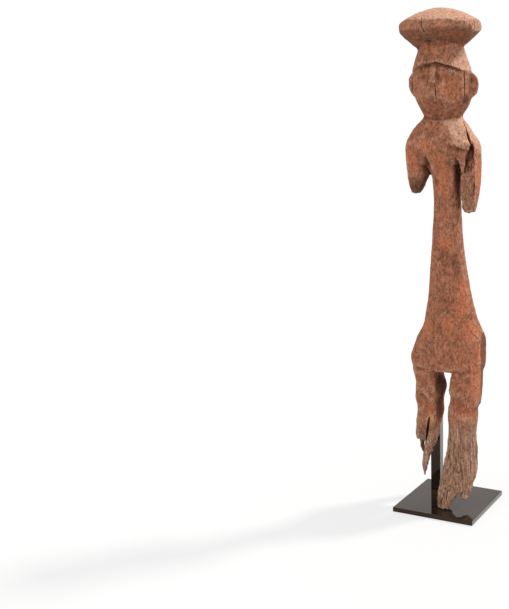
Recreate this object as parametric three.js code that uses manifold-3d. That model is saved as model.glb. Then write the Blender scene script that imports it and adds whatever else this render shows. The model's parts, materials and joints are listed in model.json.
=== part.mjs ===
// A tall wooden figure with a wide disc headdress, carved from one trunk and worn away at
// its arms and feet. It stands on a square metal plate and leans on a flat metal post.
// Millimetres, +Z up. The figure faces -Y. The origin is the middle of the plate's underside.
import * as THREE from "three";
import { mergeVertices } from "three/addons/utils/BufferGeometryUtils.js";
import Module from "manifold-3d";

const wasm = await Module();
wasm.setup();

// Driving dimensions.
const PLATE_SIDE = 200;
const PLATE_THICKNESS = 11;
const PLATE_CHAMFER = 0.8;
const POST_WIDTH = 25;
const POST_DEPTH = 20;
const POST_CENTRE = { x: -53.5, y: 55 };
const POST_TOP = 396;
const TOUCH_GAP = 0.3;
const FLOOR = PLATE_THICKNESS + TOUCH_GAP; // the lowest wood

// Heights on the figure, measured from the plate's underside.
const CROTCH = 336;
const NECK = 908;
const BROW = 1020;
const HEADDRESS_FOOT = 1057;
const HEADDRESS_RIM = 1099; // the middle of its upright rim

// How finely a loft is divided.
const RING_STEP = 13;

// A closed mesh becomes a manifold-3d solid.
function solidOf(geometry) {
  const bare = geometry.clone();
  bare.deleteAttribute("normal");
  bare.deleteAttribute("uv");
  const merged = mergeVertices(bare, 1e-4);
  return new wasm.Manifold(
    new wasm.Mesh({
      numProp: 3,
      vertProperties: new Float32Array(merged.attributes.position.array),
      triVerts: new Uint32Array(merged.index.array),
    }),
  );
}

// A manifold-3d solid becomes a mesh geometry again.
function geometryOf(solid) {
  const mesh = solid.getMesh();
  const geometry = new THREE.BufferGeometry();
  geometry.setAttribute("position", new THREE.BufferAttribute(mesh.vertProperties, 3));
  geometry.setIndex(new THREE.BufferAttribute(mesh.triVerts, 1));
  const flat = geometry.toNonIndexed();
  flat.computeVertexNormals();
  return flat;
}

// One value of a row of stations at a height, on a smooth curve through the stations.
function valueAt(stations, column, z) {
  const last = stations.length - 1;
  let i = 0;
  while (i < last - 1 && (stations[i + 1][0] - z) * (stations[last][0] - stations[0][0]) < 0) i++;
  const slope = (k) => {
    const a = stations[Math.max(k - 1, 0)];
    const b = stations[Math.min(k + 1, last)];
    return (b[column] - a[column]) / (b[0] - a[0]);
  };
  const [p, q] = [stations[i], stations[i + 1]];
  const span = q[0] - p[0];
  const t = (z - p[0]) / span;
  const rise = 3 * t * t - 2 * t * t * t;
  return (
    p[column] * (1 - rise) +
    q[column] * rise +
    slope(i) * span * t * (1 - t) ** 2 -
    slope(i + 1) * span * t * t * (1 - t)
  );
}

// A carved stem: level sections stacked along Z. Each station is
// [height, middle x, middle y, half width, depth in front, depth behind, squareness].
// Squareness 2 is an oval, and more is a box with ever tighter corners.
function loft(stations, sides, step = RING_STEP) {
  const heights = [];
  stations.slice(1).forEach((station, k) => {
    const from = stations[k][0];
    const count = Math.max(1, Math.round(Math.abs(station[0] - from) / step));
    for (let j = 0; j < count; j++) heights.push(from + ((station[0] - from) * j) / count);
  });
  heights.push(stations[stations.length - 1][0]);
  const upward = heights[heights.length - 1] > heights[0];
  const points = [];
  for (const z of heights) {
    const [x, y, width, front, back, square] = [1, 2, 3, 4, 5, 6].map((c) => valueAt(stations, c, z));
    for (let s = 0; s < sides; s++) {
      const angle = ((upward ? s : -s) / sides) * 2 * Math.PI;
      const [c, n] = [Math.cos(angle), Math.sin(angle)];
      const depth = n < 0 ? front : back;
      points.push(
        x + width * Math.sign(c) * Math.abs(c) ** (2 / square),
        y + depth * Math.sign(n) * Math.abs(n) ** (2 / square),
        z,
      );
    }
  }
  const faces = [];
  const rings = heights.length;
  for (let r = 0; r < rings - 1; r++)
    for (let s = 0; s < sides; s++) {
      const a = r * sides + s;
      const b = r * sides + ((s + 1) % sides);
      faces.push(a, b, b + sides, a, b + sides, a + sides);
    }
  const top = (rings - 1) * sides;
  for (let s = 1; s < sides - 1; s++) {
    faces.push(0, s + 1, s);
    faces.push(top, top + s, top + s + 1);
  }
  const geometry = new THREE.BufferGeometry();
  geometry.setAttribute("position", new THREE.Float32BufferAttribute(points, 3));
  geometry.setIndex(faces);
  return solidOf(geometry);
}

// A box by its size and middle, turned about X, then Y, then Z, in degrees.
function block(size, middle, turn = [0, 0, 0]) {
  const geometry = new THREE.BoxGeometry(...size);
  geometry.applyMatrix4(placed(middle, turn));
  return solidOf(geometry);
}

// An ellipsoid by its three radii and middle, turned like a block.
function ball(radii, middle, turn = [0, 0, 0], detail = 14) {
  const geometry = new THREE.SphereGeometry(1, detail, Math.round(detail * 0.7));
  geometry.scale(...radii);
  geometry.applyMatrix4(placed(middle, turn));
  return solidOf(geometry);
}

function placed(middle, turn) {
  const [x, y, z] = turn.map((degrees) => THREE.MathUtils.degToRad(degrees));
  const matrix = new THREE.Matrix4().makeRotationFromEuler(new THREE.Euler(x, y, z, "ZYX"));
  return matrix.setPosition(...middle);
}

// A V-shaped drying crack along a line on the surface. Each point is
// [position, the outward direction there, half width at the surface, depth].
function crack(line, above = 4) {
  const points = [];
  for (let k = 0; k < line.length; k++) {
    const [at, outward, half, depth] = line[k];
    const here = new THREE.Vector3(...at);
    const before = new THREE.Vector3(...line[Math.max(k - 1, 0)][0]);
    const after = new THREE.Vector3(...line[Math.min(k + 1, line.length - 1)][0]);
    const along = after.sub(before).normalize();
    const out = new THREE.Vector3(...outward).normalize();
    const across = new THREE.Vector3().crossVectors(along, out).normalize();
    const flare = (depth + above) / depth;
    for (const [side, height] of [[-half * flare, above], [half * flare, above], [0, -depth]]) {
      const corner = here.clone().addScaledVector(across, side).addScaledVector(out, height);
      points.push(...corner.toArray());
    }
  }
  const faces = [];
  for (let k = 0; k < line.length - 1; k++)
    for (let s = 0; s < 3; s++) {
      const a = k * 3 + s;
      const b = k * 3 + ((s + 1) % 3);
      faces.push(a, b, b + 3, a, b + 3, a + 3);
    }
  const end = (line.length - 1) * 3;
  faces.push(0, 2, 1, end, end + 1, end + 2);
  const geometry = new THREE.BufferGeometry();
  geometry.setAttribute("position", new THREE.Float32BufferAttribute(points, 3));
  geometry.setIndex(faces);
  return solidOf(geometry);
}

// The trunk of the body: hips, a long waist and the chest, leaning a little forward at the top.
function trunk() {
  return loft(
    [
      [CROTCH - 2, 2.5, 0, 80.5, 45, 42, 3.4],
      [345, 1, 0, 85.5, 49.5, 46, 3.3],
      [362, 0.5, 0, 88.5, 51, 47, 3.1],
      [388, 5, 0, 84.5, 50, 46, 3],
      [410, 9, 0, 81, 49, 45, 2.7],
      [432, 10.5, 0, 70.5, 46, 43, 2.3],
      [465, 7.5, 0, 60, 42, 40, 2.15],
      [510, 5.5, 0, 50.5, 39, 38, 2.1],
      [560, 2.5, 0, 44, 37, 35, 2.1],
      [630, 0, 0, 35.5, 34, 33, 2.1],
      [700, 0.5, -1, 31.5, 31, 31, 2.1],
      [755, 0.5, -5, 30, 32, 33, 2.1],
      [775, 0, -8, 32, 36, 35, 2.2],
      [795, -3, -10, 37, 42, 37, 2.3],
      [812, -4, -11, 47, 47, 39, 2.3],
      [828, -5, -12, 61, 50.5, 41, 2.3],
      [850, -5, -13, 72, 53, 43, 2.3],
    ],
    30,
    19,
  );
}

// The shoulders are one smooth dome that rounds under into the chest and runs out into the arms.
function shoulders() {
  return loft(
    [
      [NECK + 6, -5, -15, 38, 36, 36, 2],
      [NECK - 6, -4, -15, 47.5, 41, 41, 2.05],
      [890, -6, -15, 59, 47, 46, 2.1],
      [872, -7, -15, 72, 54, 51, 2.15],
      [856, -6, -14, 83.5, 56, 53, 2.2],
      [840, -5, -13.5, 88.5, 55, 52, 2.25],
      [826, -5, -13, 88, 51.5, 49, 2.25],
      [814, -5, -12, 80, 46.5, 45, 2.2],
      [804, -5, -11, 66, 41, 40, 2.2],
    ],
    34,
    12,
  );
}

// The right arm is a stub with a rounded, rotted tip. The left arm is longer and broken off square.
function arms() {
  const right = loft(
    [
      [852, -60, -13, 30, 40, 37, 2.3],
      [828, -65, -11, 27.5, 38, 36, 2.4],
      [809, -67, -10, 24.5, 34, 32, 2.5],
      [790, -68, -9, 23.5, 28, 27, 2.6],
      [772, -69.5, -8, 19.5, 23, 22, 2.6],
      [755, -72, -8, 16, 18, 18, 2.4],
      [744, -74, -8, 12, 13, 13, 2.2],
      [738.5, -74.5, -8, 7, 7, 7, 2],
    ],
    18,
    13,
  );
  const left = loft(
    [
      [852, 50, -13, 29.5, 40, 37, 2.3],
      [828, 55, -11, 25.5, 38, 36, 2.4],
      [809, 58, -10, 22.5, 36, 34, 2.6],
      [785, 58, -9, 21.5, 32, 31, 2.8],
      [755, 58, -8, 19.5, 28, 28, 2.9],
      [730, 57, -8, 16.5, 24, 24, 2.9],
      [712, 57.5, -8, 12.5, 20, 20, 2.9],
      [699, 58.5, -8, 9, 15, 15, 2.9],
    ],
    18,
    15,
  );
  return right.add(left);
}

// Behind each armpit a thin web of wood still joins the arm to the chest.
function webs() {
  const side = (x) =>
    loft(
      [
        [850, x, 2, 26, 20, 18, 2.4],
        [812, x, 5, 20, 13, 13, 2.4],
        [790, x, 7, 15, 8, 8, 2.4],
        [779, x, 8, 9, 5, 5, 2.4],
      ],
      14,
      15,
    );
  return side(-47).add(side(38));
}

// The head is an egg set straight on the shoulders. A roof-shaped brow stands out over the face.
function head() {
  const skull = loft(
    [
      [NECK - 8, -4, -15, 36, 36, 36, 2.05],
      [912, -1.5, -16, 43.5, 43, 42, 2.05],
      [927, -1, -17, 52.5, 51.5, 50, 2.15],
      [944, -1.5, -18, 61, 59.5, 56, 2.1],
      [965, -3.5, -19, 65, 61.5, 60, 2.05],
      [990, -4, -20, 65, 59.5, 61, 2.05],
      [1013, -3.5, -21, 61.5, 54.5, 59, 2],
      [1035, -4, -22, 55, 50, 54, 2],
      [HEADDRESS_FOOT, -4.5, -23, 47.5, 48, 48, 2],
      [HEADDRESS_FOOT + 14, -4.5, -23, 46.5, 47, 47, 2],
    ],
    30,
    14,
  );
  const cap = loft(
    [
      [972, -2, -19.5, 66.5, 69, 42, 2.45],
      [992, -2, -20, 66.5, 69, 42, 2.45],
      [1013, -3, -21, 62.5, 66, 42, 2.4],
      [1035, -3.5, -22, 56.5, 59, 38, 2.25],
      [HEADDRESS_FOOT, -4, -23, 49, 50.5, 34, 2.1],
      [HEADDRESS_FOOT + 12, -4, -23, 48, 49.5, 34, 2.1],
    ],
    32,
    14,
  );
  const arch = new THREE.Shape();
  arch.moveTo(-90, BROW - 22);
  arch.lineTo(-64, BROW - 16);
  arch.quadraticCurveTo(-30, BROW - 4, 8, BROW);
  arch.quadraticCurveTo(40, BROW - 9, 62, BROW - 18);
  arch.lineTo(90, BROW - 22);
  arch.lineTo(90, 940);
  arch.lineTo(-90, 940);
  arch.closePath();
  const below = new THREE.ExtrudeGeometry(arch, { depth: 240, bevelEnabled: false, curveSegments: 5 });
  below.rotateX(Math.PI / 2); // the outline stands up in X and Z, and the cut runs along Y
  below.translate(0, 120, 0);
  return skull.add(cap.subtract(solidOf(below)));
}

// A long straight nose under the point of the brow, and a short cut for the mouth.
function nose() {
  return loft(
    [
      [BROW - 2, 0, -72, 5, 6, 10, 2.8],
      [1006, 0, -74, 7, 10, 10, 2.8],
      [988, -1, -75, 9, 14, 10, 2.8],
      [979, -1, -75, 10, 16, 10, 2.8],
      [976.5, -1, -75, 9, 12, 10, 2.8],
    ],
    12,
    11,
  );
}

function mouth() {
  return block([26, 12, 3.2], [-8, -81, 963.5], [0, 0, -4]);
}

// Each ear is a half-round flange that stands out from the side of the head, hollowed in front.
function ears() {
  const ear = (side) => {
    const rim = new THREE.Shape();
    rim.moveTo(0, 30);
    rim.quadraticCurveTo(20, 26, 22, 6);
    rim.quadraticCurveTo(22, -18, 4, -27);
    rim.lineTo(-14, -24);
    rim.lineTo(-14, 30);
    rim.closePath();
    const flange = new THREE.ExtrudeGeometry(rim, { depth: 13, bevelEnabled: false, curveSegments: 7 });
    flange.rotateX(Math.PI / 2);
    flange.translate(0, 6.5, 0);
    const hollow = new THREE.SphereGeometry(1, 14, 10);
    hollow.scale(12, 8, 18);
    hollow.translate(4, -9, 0);
    const made = solidOf(flange).subtract(solidOf(hollow));
    const turned = side > 0 ? made : made.mirror([1, 0, 0]);
    return turned.rotate([0, 0, side * 14]).translate([side * 61 - 6.5, -9, 976 - side * 3]);
  };
  return ear(1).add(ear(-1));
}

// The headdress: a low dome over a thick upright rim, and under the rim a cone down to the head.
function headdress() {
  const profile = new THREE.Path();
  profile.moveTo(0, HEADDRESS_FOOT - 8);
  profile.lineTo(50, HEADDRESS_FOOT - 8);
  profile.lineTo(54, HEADDRESS_FOOT);
  profile.quadraticCurveTo(75, HEADDRESS_RIM - 27, 89.5, HEADDRESS_RIM - 11);
  profile.lineTo(92, HEADDRESS_RIM - 6);
  profile.lineTo(91, HEADDRESS_RIM + 5);
  profile.quadraticCurveTo(87, HEADDRESS_RIM + 11, 73, HEADDRESS_RIM + 18);
  profile.quadraticCurveTo(36, HEADDRESS_RIM + 37, 0, HEADDRESS_RIM + 39.5);
  const lathe = new THREE.LatheGeometry(profile.getPoints(4), 36);
  lathe.rotateX(Math.PI / 2);
  lathe.scale(1, 0.85, 1);
  lathe.translate(-7, -25, 0);
  return solidOf(lathe);
}

// The right leg has rotted away below the knee: a short stub, a thin spike and a longer splinter.
// Both legs are carved in zigzag steps that swell and narrow.
function rightLeg() {
  const stem = loft(
    [
      [352, -48, 0, 31, 39, 37, 3.2],
      [332, -49, -1, 32, 41, 38, 3.2],
      [318, -47.5, -2, 29.5, 39, 36, 3.2],
      [304, -43.5, -2, 30, 37, 35, 3.2],
      [290, -40.5, -3, 33, 38, 35, 3.2],
      [272, -43.5, -2, 33, 32, 31, 3.2],
      [257, -46.5, -2, 32, 28, 28, 3.2],
      [244, -44, -2, 29.5, 27.5, 27, 3.2],
      [230, -42.5, -2, 29.5, 30, 29, 3.2],
      [216, -45, -2, 28.5, 31, 29, 3.2],
      [203, -48.5, -2, 28, 30, 28, 3.1],
      [190, -50.5, -1, 25.5, 28, 26, 3],
      [170, -52.5, 0, 25, 25.5, 24.5, 3],
      [157, -54, 0, 23, 23, 22, 3],
    ],
    22,
    14,
  );
  const splinter = loft(
    [
      [190, -40, -8, 15, 18, 16, 2.6],
      [162, -39, -10, 14, 16, 15, 2.6],
      [140, -44.5, -12, 11, 13, 12, 2.5],
      [116, -50.5, -13, 9, 10, 10, 2.4],
      [92, -54.5, -14, 6, 7, 7, 2.3],
      [66, -56, -14, 1.5, 2, 2, 2],
    ],
    12,
    14,
  );
  const spike = loft(
    [
      [178, -69, 2, 6, 7, 8, 2.4],
      [152, -69, 1, 5.5, 6, 7, 2.4],
      [119, -65.5, -2, 1.2, 1.6, 1.6, 2],
    ],
    8,
    20,
  );
  const gap = crack(
    [
      [[-37.5, -32, 218], [0, -1, 0], 0.5, 8],
      [[-40, -32, 196], [0, -1, 0], 1.6, 18],
      [[-45.5, -30, 168], [0, -1, 0], 2.6, 26],
      [[-49.5, -27, 146], [0, -1, 0], 3.6, 40],
    ],
    8,
  );
  return stem.add(splinter).add(spike).subtract(gap);
}

// The left leg reaches the plate. Its foot is worn to a long toe, and a short ragged heel
// that ends above the plate. A strip of old surface stands proud on its outer side.
function leftLeg() {
  const stem = loft(
    [
      [352, 46, 0, 31, 39, 37, 3.2],
      [330, 49.5, -1, 31.5, 41, 38, 3.2],
      [308, 45.5, -2, 33.5, 38, 35, 3.2],
      [286, 44.5, -3, 33.5, 38, 35, 3.2],
      [267, 43.5, -2, 31.5, 31, 31, 3.2],
      [248, 40, -2, 32, 32, 30, 3.2],
      [229, 38.5, -2, 33, 33, 30, 3.2],
      [206, 38, -2, 32.5, 29, 28, 3.1],
      [180, 36, -2, 31, 28, 28, 3],
      [150, 36.5, -3, 34, 29, 29, 2.9],
      [120, 34.5, -4, 35.5, 33, 30, 2.8],
      [90, 32.5, -6, 38.5, 39, 32, 2.8],
      [64, 29, -9, 35.5, 43, 34, 2.7],
      [50, 25.5, -12, 31.5, 43, 34, 2.6],
    ],
    24,
    15,
  );
  const strip = loft(
    [
      [340, 62, -3, 21, 29, 29, 4],
      [300, 62, -3, 20, 28, 28, 4],
      [252, 60, -3, 19, 24, 24, 4],
    ],
    12,
    24,
  );
  const toe = loft(
    [
      [82, 21, -26, 25, 17, 20, 2.7],
      [50, 17, -41, 24, 18, 20, 2.8],
      [32, 13.5, -49, 19.5, 15, 15, 2.8],
      [FLOOR, 10.5, -55, 14.5, 11, 11, 2.8],
    ],
    14,
    14,
  );
  const heel = loft(
    [
      [80, 47.5, -10, 21, 30, 18, 2.7],
      [56, 53.5, -18, 12.5, 25, 16, 2.7],
      [44, 53.5, -21, 10, 16, 13, 2.6],
      [35, 53, -23, 7, 10, 9, 2.5],
      [29, 52.5, -25, 3, 4, 4, 2.4],
    ],
    12,
    14,
  );
  return stem.add(strip).add(toe).add(heel);
}

// The left shoulder has split open, and rot has hollowed the arm below the split.
function rottedShoulder() {
  const split = crack(
    [
      [[47, -25, 897], [0.66, -0.2, 0.72], 0.5, 7],
      [[57, -35, 883], [0.7, -0.34, 0.63], 1.2, 12],
      [[63, -40, 870], [0.73, -0.48, 0.49], 1.9, 17],
      [[68, -43, 857], [0.75, -0.55, 0.38], 2.7, 20],
      [[71, -44, 842], [0.8, -0.6, 0.1], 3.6, 22],
    ],
    6,
  );
  const hollow = ball([9, 20, 34], [67.5, -42, 818], [0, 14, 28], 14);
  return split.add(hollow);
}

function figure() {
  const body = trunk()
    .add(shoulders())
    .add(arms())
    .add(webs())
    .add(head())
    .add(nose())
    .add(ears())
    .add(headdress())
    .add(rightLeg())
    .add(leftLeg());
  const disc = crack(
    [
      [[-19, -89, 1117], [-0.05, -0.45, 0.9], 0.6, 8],
      [[-15, -99, 1110], [-0.05, -0.7, 0.71], 1.1, 12],
      [[-12, -104, 1096], [-0.07, -1, 0.07], 1.3, 13],
      [[-12, -97, 1081], [-0.06, -0.75, -0.66], 1.1, 12],
      [[-5, -77, 1062], [0.05, -0.64, -0.76], 0.5, 7],
    ],
    6,
  );
  const postSeat = block(
    [POST_WIDTH + 2 * TOUCH_GAP, 60, POST_TOP],
    [POST_CENTRE.x, POST_CENTRE.y - POST_DEPTH / 2 - TOUCH_GAP + 30, POST_TOP / 2 + TOUCH_GAP],
  );
  return body.subtract(mouth()).subtract(rottedShoulder()).subtract(disc).subtract(postSeat);
}

// A flat bar or plate with a small chamfer on every edge, standing on the level z.
function chamferedSlab(width, depth, height, chamfer, z) {
  const [x, y] = [width / 2 - chamfer, depth / 2 - chamfer];
  const outline = new THREE.Shape();
  outline.moveTo(-x, -y);
  outline.lineTo(x, -y);
  outline.lineTo(x, y);
  outline.lineTo(-x, y);
  outline.closePath();
  const geometry = new THREE.ExtrudeGeometry(outline, {
    depth: height - 2 * chamfer,
    bevelEnabled: true,
    bevelThickness: chamfer,
    bevelSize: chamfer,
    bevelSegments: 1,
  });
  geometry.translate(0, 0, z + chamfer);
  return geometry;
}

const wood = new THREE.MeshStandardMaterial({ color: 0x9c5a41, roughness: 0.8, metalness: 0 });
const darkMetal = new THREE.MeshStandardMaterial({ color: 0x2b2827, roughness: 0.35, metalness: 0.6 });

const statue = new THREE.Group();

const carvedFigure = new THREE.Mesh(geometryOf(figure()), wood);
carvedFigure.name = "carved_figure";
statue.add(carvedFigure);

const plateGeometry = chamferedSlab(PLATE_SIDE, PLATE_SIDE, PLATE_THICKNESS, PLATE_CHAMFER, 0);
const plate = new THREE.Mesh(plateGeometry, darkMetal);
plate.name = "base_plate";
statue.add(plate);

const postGeometry = chamferedSlab(POST_WIDTH, POST_DEPTH, POST_TOP - FLOOR, PLATE_CHAMFER, FLOOR);
const post = new THREE.Mesh(postGeometry, darkMetal);
post.name = "support_post";
post.position.set(POST_CENTRE.x, POST_CENTRE.y, 0);
statue.add(post);

export default statue;
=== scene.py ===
# %% [markdown]
# # A tall carved figure on a plate and post
#
# A standing figure, about 1.1 metres high, was carved from one trunk with an adze and a
# knife. It wears a wide disc as a headdress. Damp and insects have eaten the feet and the
# tips of the arms, and dry air has split the wood. Red ochre was rubbed into it long ago.
# Today it stands on a dark metal plate, held by a flat metal post behind one leg.
#
# The solid model already holds the size and the main forms. This script dresses it: a
# finer skin of wood with its splits and tool marks, the paint, and the stand.

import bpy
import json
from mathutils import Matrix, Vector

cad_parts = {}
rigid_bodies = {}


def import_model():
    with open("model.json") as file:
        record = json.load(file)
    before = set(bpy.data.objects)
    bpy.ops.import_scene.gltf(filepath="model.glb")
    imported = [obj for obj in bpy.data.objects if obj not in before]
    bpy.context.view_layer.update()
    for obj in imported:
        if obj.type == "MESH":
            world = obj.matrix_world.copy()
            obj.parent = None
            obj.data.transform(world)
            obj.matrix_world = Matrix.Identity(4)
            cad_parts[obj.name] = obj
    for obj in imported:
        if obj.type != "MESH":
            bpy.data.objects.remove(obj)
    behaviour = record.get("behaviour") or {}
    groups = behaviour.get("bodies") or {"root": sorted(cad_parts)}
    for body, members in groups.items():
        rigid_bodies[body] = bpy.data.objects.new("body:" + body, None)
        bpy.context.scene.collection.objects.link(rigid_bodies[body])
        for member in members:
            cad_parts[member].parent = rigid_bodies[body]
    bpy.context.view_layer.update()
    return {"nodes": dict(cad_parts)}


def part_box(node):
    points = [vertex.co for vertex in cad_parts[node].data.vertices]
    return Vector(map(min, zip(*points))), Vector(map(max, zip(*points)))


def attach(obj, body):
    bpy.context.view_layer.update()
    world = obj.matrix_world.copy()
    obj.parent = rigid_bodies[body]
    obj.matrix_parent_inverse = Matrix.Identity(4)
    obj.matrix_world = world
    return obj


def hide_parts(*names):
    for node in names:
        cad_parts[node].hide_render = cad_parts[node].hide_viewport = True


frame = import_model()

# %% [markdown]
# ## The camera
#
# The plate is a true square, so its four corners say where the camera stood: a little
# above the figure's middle, about two metres away, and to the figure's left. The
# photograph is a crop of a wider picture, which leaves the figure at its right edge. A
# sideways shift of the lens makes the same crop without turning the camera.

# %% Camera
import math

import bpy
from mathutils import Matrix, Vector

IMAGE_WIDTH, IMAGE_HEIGHT = 509, 609
LENS_AXIS_X = 400  # the picture column that the lens points at
CAMERA_PLACE = Vector((0.8035, -1.8963, 0.864))
CAMERA_YAW = math.radians(26.039)
CAMERA_PITCH = math.radians(10.417)
CAMERA_ROLL = math.radians(-0.725)
SENSOR, LENS = 36.0, 53.668

ahead = Vector((
    -math.sin(CAMERA_YAW) * math.cos(CAMERA_PITCH),
    math.cos(CAMERA_YAW) * math.cos(CAMERA_PITCH),
    -math.sin(CAMERA_PITCH),
))
level_right = Vector((math.cos(CAMERA_YAW), math.sin(CAMERA_YAW), 0))
level_up = level_right.cross(ahead)
right = math.cos(CAMERA_ROLL) * level_right + math.sin(CAMERA_ROLL) * level_up
up = right.cross(ahead)
bpy.ops.object.camera_add()
camera = bpy.context.object
camera.name = "camera"
camera.matrix_world = Matrix.Translation(CAMERA_PLACE) @ Matrix((right, up, -ahead)).transposed().to_4x4()
camera.data.sensor_width = SENSOR
camera.data.lens = LENS
camera.data.shift_x = (IMAGE_WIDTH / 2 - LENS_AXIS_X) / IMAGE_HEIGHT
camera.data.dof.use_dof = False
bpy.context.scene.camera = camera
print("camera", round((CAMERA_PLACE - Vector((0, 0, 0.57))).length, 3), "m from the figure's middle")

# %% [markdown]
# ## Light and floor
#
# The long faint shadow to the lower left shows one soft main light, high up behind the
# figure's left shoulder. Everything else is lit by a white room. One sun with a wide
# angle gives the soft shadow, and a white world stands for the room. The floor is a large
# white sheet that is lit from below as well, as on a photographer's light table: it glows
# a little, so that it disappears into the background and only a faint shadow stays.

# %% Light and floor
TO_SUN = Vector((0.42, 0.47, 0.777))
SUN_STRENGTH = 2.7
SUN_ANGLE = math.radians(7)
ROOM_STRENGTH = 1.0
FLOOR_WHITE = 0.2
FLOOR_GLOW = 0.68
FLOOR_SIDE = 60.0
FLOOR_DROP = 0.0003  # just under the plate, so that the two never flicker


def plain_surface(name, color, roughness):
    """A material of one colour with its nodes, and its shader to set further."""
    material = bpy.data.materials.new(name)
    material.use_nodes = True
    shader = material.node_tree.nodes["Principled BSDF"]
    shader.inputs["Base Color"].default_value = (*color, 1)
    shader.inputs["Roughness"].default_value = roughness
    return material, shader


bpy.ops.object.light_add(type="SUN", rotation=TO_SUN.to_track_quat("Z", "Y").to_euler())
sun = bpy.context.object
sun.name = "main_light"
sun.data.energy = SUN_STRENGTH
sun.data.angle = SUN_ANGLE
sun.data.color = (1.0, 0.97, 0.93)

room = bpy.data.worlds.new("white_room")
bpy.context.scene.world = room
room.use_nodes = True
room.node_tree.nodes["Background"].inputs["Color"].default_value = (1, 1, 1, 1)
room.node_tree.nodes["Background"].inputs["Strength"].default_value = ROOM_STRENGTH
bpy.context.scene.view_settings.view_transform = "Standard"

bpy.ops.mesh.primitive_plane_add(size=FLOOR_SIDE, location=(0, 0, -FLOOR_DROP))
floor = bpy.context.object
floor.name = "floor"
floor_material, floor_shader = plain_surface("pale_floor", (FLOOR_WHITE,) * 3, 0.9)
floor_shader.inputs["Specular IOR Level"].default_value = 0.0
floor_shader.inputs["Emission Color"].default_value = (1, 1, 1, 1)
floor_shader.inputs["Emission Strength"].default_value = FLOOR_GLOW
floor.data.materials.append(floor_material)
print("sun", SUN_STRENGTH, "room", ROOM_STRENGTH)

# %% [markdown]
# ## A fine skin for the figure
#
# The solid is made of flat faces as wide as a thumb, too coarse for tool marks. A copy of
# it is welded and covered again by a voxel remesh, which lays an even net of small
# squares over the whole figure and joins all its forms into one skin. A little smoothing
# then softens the edges between the faces, as sanding would.

# %% Remesh a copy of the solid
SKIN = 0.0026  # the width of one square of the net, in metres
SMOOTH_ROUNDS = 2


def only(thing):
    """Selects one object alone and makes it the active one."""
    bpy.ops.object.select_all(action="DESELECT")
    thing.select_set(True)
    bpy.context.view_layer.objects.active = thing


def apply_modifier(thing, kind, **settings):
    """Adds a modifier, sets it and applies it at once."""
    only(thing)
    modifier = thing.modifiers.new(kind.lower(), kind)
    for key, value in settings.items():
        setattr(modifier, key, value)
    bpy.ops.object.modifier_apply(modifier=modifier.name)


only(frame["nodes"]["carved_figure"])
bpy.ops.object.duplicate()
figure = bpy.context.object
bpy.ops.object.parent_clear(type="CLEAR_KEEP_TRANSFORM")
figure.name = figure.data.name = "wooden_figure"
bpy.ops.object.mode_set(mode="EDIT")
bpy.ops.mesh.select_all(action="SELECT")
bpy.ops.mesh.remove_doubles(threshold=0.00002)
bpy.ops.object.mode_set(mode="OBJECT")
apply_modifier(figure, "REMESH", mode="VOXEL", voxel_size=SKIN, use_smooth_shade=True)
apply_modifier(figure, "SMOOTH", factor=0.5, iterations=SMOOTH_ROUNDS)
print("skin:", len(figure.data.polygons), "squares")

# %% [markdown]
# ## Carving tools
#
# The next cells carve the skin as a knife would, by moving its points. All of them work
# on two long arrays, one of places and one of outward directions, because that is much
# faster than moving points one at a time.

# %% Points of the skin as arrays
import numpy as np

MM = 0.001


def places_of(thing):
    """The points of a mesh as an array of rows (x, y, z), in millimetres."""
    flat = np.empty(len(thing.data.vertices) * 3)
    thing.data.vertices.foreach_get("co", flat)
    return flat.reshape(-1, 3) / MM


def outward_of(thing):
    """The outward direction at each point."""
    flat = np.empty(len(thing.data.vertices) * 3)
    thing.data.vertex_normals.foreach_get("vector", flat)
    return flat.reshape(-1, 3)


def put_places(thing, places):
    """Writes the places back to the mesh."""
    thing.data.vertices.foreach_set("co", (places * MM).ravel())
    thing.data.update()


print("the skin has", len(places_of(figure)), "points")

# %% [markdown]
# A falloff says how hard the tool presses: fully at its middle and not at all at its edge.
# All of them are made with one smooth ramp, so no stroke leaves a step behind. Some are
# round, some follow a line, and some fill an area that is drawn on the front. The camera
# looks a little from the figure's left, so that is where the drawn areas are seen from.

# %% Falloffs
VIEW_X, VIEW_Y = 0.9, 0.44  # turns X and Y to the side that the figure is looked at from


def ramp(value, low, high):
    """0 below low, 1 above high, and smooth between. low may be the larger one."""
    t = np.clip((value - low) / (high - low), 0, 1)
    return t * t * (3 - 2 * t)


def ball_falloff(places, middle, radii):
    """1 at the middle of an ellipsoid and 0 at its skin."""
    far = np.linalg.norm((places - middle) / radii, axis=1)
    return ramp(far, 1, 0)


def line_distance(places, points):
    """How far each place is from a line through the points."""
    nearest = np.full(len(places), 1e9)
    for start, end in zip(np.array(points[:-1], float), np.array(points[1:], float)):
        along = end - start
        t = np.clip((places - start) @ along / (along @ along), 0, 1)
        nearest = np.minimum(nearest, np.linalg.norm(places - start - t[:, None] * along, axis=1))
    return nearest


def across_of(places):
    """How far to the right each place lies, seen from in front and a little from the figure's left."""
    return VIEW_X * places[:, 0] + VIEW_Y * places[:, 1]


def back_of(places):
    """How far each place lies behind the middle, seen from the same side."""
    return VIEW_X * places[:, 1] - VIEW_Y * places[:, 0]


def area(places, corners, soft):
    """1 inside an area on the front. Its corners (across, z) go round clockwise, with no dents."""
    spot = np.stack((across_of(places), places[:, 2]), axis=1)
    mask = np.ones(len(places))
    for start, end in zip(np.array(corners, float), np.array(corners[1:] + corners[:1], float)):
        along = (end - start) / np.linalg.norm(end - start)
        mask *= ramp((spot - start) @ np.array((along[1], -along[0])), -soft, soft)
    return mask


print("a quarter up a ramp the tool presses by", float(ramp(0.25, 0, 1)))

# %% [markdown]
# Two more tools: noise, for everything that no hand made, and smoothing. Smoothing moves
# each point to the mean of its neighbours, so it also tells what stands out and what lies
# low.

# %% Noise and smoothing
from mathutils import noise


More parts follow.
